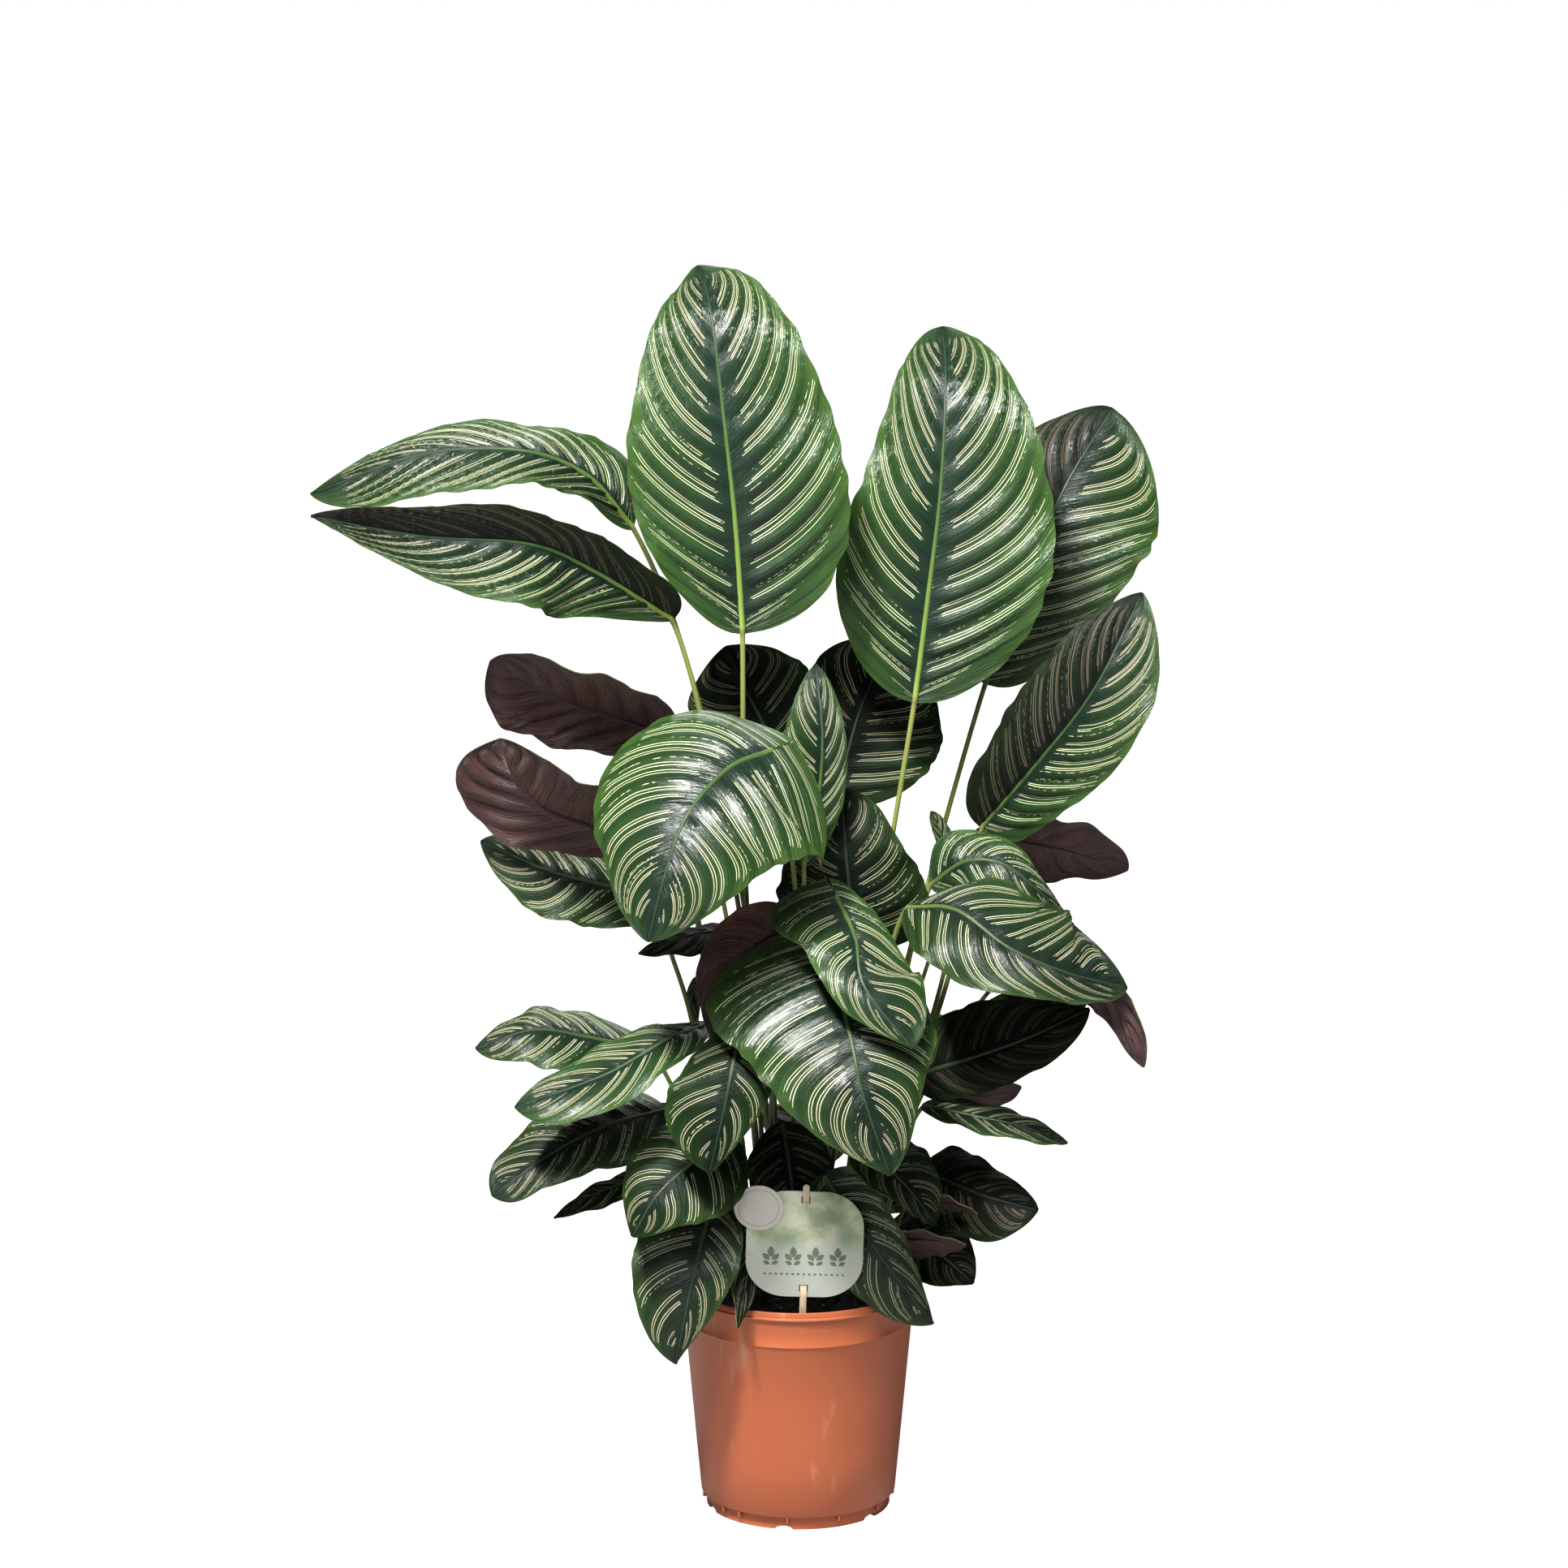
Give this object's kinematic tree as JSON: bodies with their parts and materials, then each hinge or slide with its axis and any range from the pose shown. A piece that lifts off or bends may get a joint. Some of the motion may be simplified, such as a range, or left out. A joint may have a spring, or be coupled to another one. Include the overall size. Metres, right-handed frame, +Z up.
{
  "type": "potted pinstripe calathea",
  "caption": "Tall clump of broad pinstriped leaves on long stalks, rooted in soil in a tapered plastic nursery pot, with a rounded plant label on a stick.",
  "frame": {"origin": "middle of the pot's underside, on the surface that it stands on", "axes": "+Z up along the pot's axis; the front with the label faces -Y; +X to the right seen from the front"},
  "size_m": [0.7606, 0.4762, 1.1283],
  "materials": {
    "pot": "smooth satin terracotta-coloured plastic",
    "soil": "rough moist peat with pale perlite grains",
    "label_card": "smooth coated card, pale grey-green",
    "label_stick": "plain sawn birch",
    "leaf": "glossy leaf skin, dark green above with cream pinstripes, brown-purple below"
  },
  "bodies": {
    "root": {"pot": "pot", "soil": "soil", "label_card": "label_card", "label_stick": "label_stick", "leaf_tall_left": "leaf", "leaf_tall_right": "leaf", "leaf_back_right": "leaf", "leaf_right_striped": "leaf", "leaf_right_underside": "leaf", "leaf_front_left_big": "leaf", "leaf_upper_left_a": "leaf", "leaf_upper_left_b": "leaf", "leaf_left_underside_upper": "leaf", "leaf_left_underside_lower": "leaf", "leaf_left_striped_low": "leaf", "leaf_back_dark": "leaf", "leaf_small_upright": "leaf", "leaf_back_centre": "leaf", "leaf_centre_dark": "leaf", "leaf_centre_front_upper": "leaf", "leaf_right_big": "leaf", "leaf_right_arching": "leaf", "leaf_small_silver": "leaf", "leaf_front_centre_big": "leaf", "leaf_right_black": "leaf", "leaf_right_behind_black": "leaf", "leaf_right_pink_low": "leaf", "leaf_right_droop_underside": "leaf", "leaf_right_low_narrow": "leaf", "leaf_low_right": "leaf", "leaf_low_right_dark": "leaf", "leaf_low_pink_a": "leaf", "leaf_low_pink_b": "leaf", "leaf_low_right_glossy": "leaf", "leaf_over_rim_right": "leaf", "leaf_behind_label": "leaf", "leaf_over_rim_left": "leaf", "leaf_left_third": "leaf", "leaf_left_second": "leaf", "leaf_far_left_top": "leaf", "leaf_left_glossy": "leaf", "leaf_left_low_dark": "leaf", "leaf_left_small": "leaf", "leaf_left_edge_on": "leaf", "leaf_centre_underside": "leaf", "leaf_left_sliver": "leaf", "leaf_over_rim_centre": "leaf", "leaf_back_left": "leaf", "leaf_back_middle": "leaf", "leaf_back_right_low": "leaf", "leaf_back_left_low": "leaf", "leaf_back_middle_low": "leaf", "leaf_back_right_small": "leaf"}
  },
  "joints": []
}
